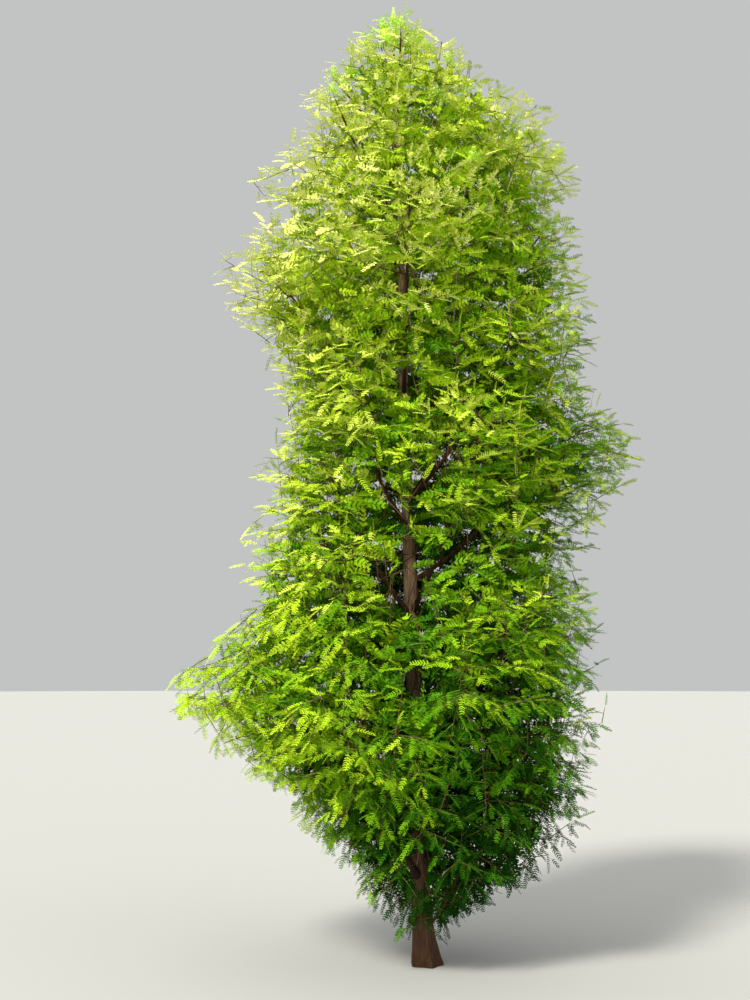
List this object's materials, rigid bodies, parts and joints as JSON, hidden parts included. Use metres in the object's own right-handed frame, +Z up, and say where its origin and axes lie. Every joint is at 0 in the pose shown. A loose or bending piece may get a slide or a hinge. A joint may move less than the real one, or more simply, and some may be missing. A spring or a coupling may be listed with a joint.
{
  "type": "dawn redwood tree",
  "caption": "Young conifer rooted in the ground: a tapering trunk with a root flare, ascending boughs and a tall, full crown of feathery needle sprays.",
  "frame": {"origin": "middle of the flat cut under the trunk, at ground level", "axes": "+Z up; the picture's viewer stands on the -Y side, with +X to the right"},
  "size_m": [2.6006, 2.3843, 5.5063],
  "materials": {
    "bark": "rough, stringy, reddish brown bark",
    "needles": "soft, matt, yellow green needles"
  },
  "bodies": {
    "root": {"trunk": "bark", "bough_low_1": "bark", "bough_low_2": "bark", "bough_low_3": "bark", "bough_low_4": "bark", "bough_low_5": "bark", "bough_lower_1": "bark", "bough_lower_2": "bark", "bough_lower_3": "bark", "bough_lower_4": "bark", "bough_lower_5": "bark", "bough_middle_1": "bark", "bough_middle_2": "bark", "bough_middle_3": "bark", "bough_middle_4": "bark", "bough_middle_5": "bark", "bough_upper_1": "bark", "bough_upper_2": "bark", "bough_upper_3": "bark", "bough_upper_4": "bark", "bough_high_1": "bark", "bough_high_2": "bark", "bough_high_3": "bark", "bough_high_4": "bark", "foliage_skirt_1": "needles", "foliage_skirt_2": "needles", "foliage_skirt_3": "needles", "foliage_skirt_4": "needles", "foliage_low_1": "needles", "foliage_low_2": "needles", "foliage_low_3": "needles", "foliage_low_4": "needles", "foliage_low_5": "needles", "foliage_lower_1": "needles", "foliage_lower_2": "needles", "foliage_lower_3": "needles", "foliage_lower_4": "needles", "foliage_lower_5": "needles", "foliage_middle_1": "needles", "foliage_middle_2": "needles", "foliage_middle_3": "needles", "foliage_middle_4": "needles", "foliage_middle_5": "needles", "foliage_upper_1": "needles", "foliage_upper_2": "needles", "foliage_upper_3": "needles", "foliage_upper_4": "needles", "foliage_high_1": "needles", "foliage_high_2": "needles", "foliage_high_3": "needles", "foliage_high_4": "needles", "foliage_shoulder_1": "needles", "foliage_shoulder_2": "needles", "foliage_shoulder_3": "needles", "foliage_crest_1": "needles", "foliage_crest_2": "needles", "foliage_crest_3": "needles", "foliage_leader": "needles"}
  },
  "joints": []
}
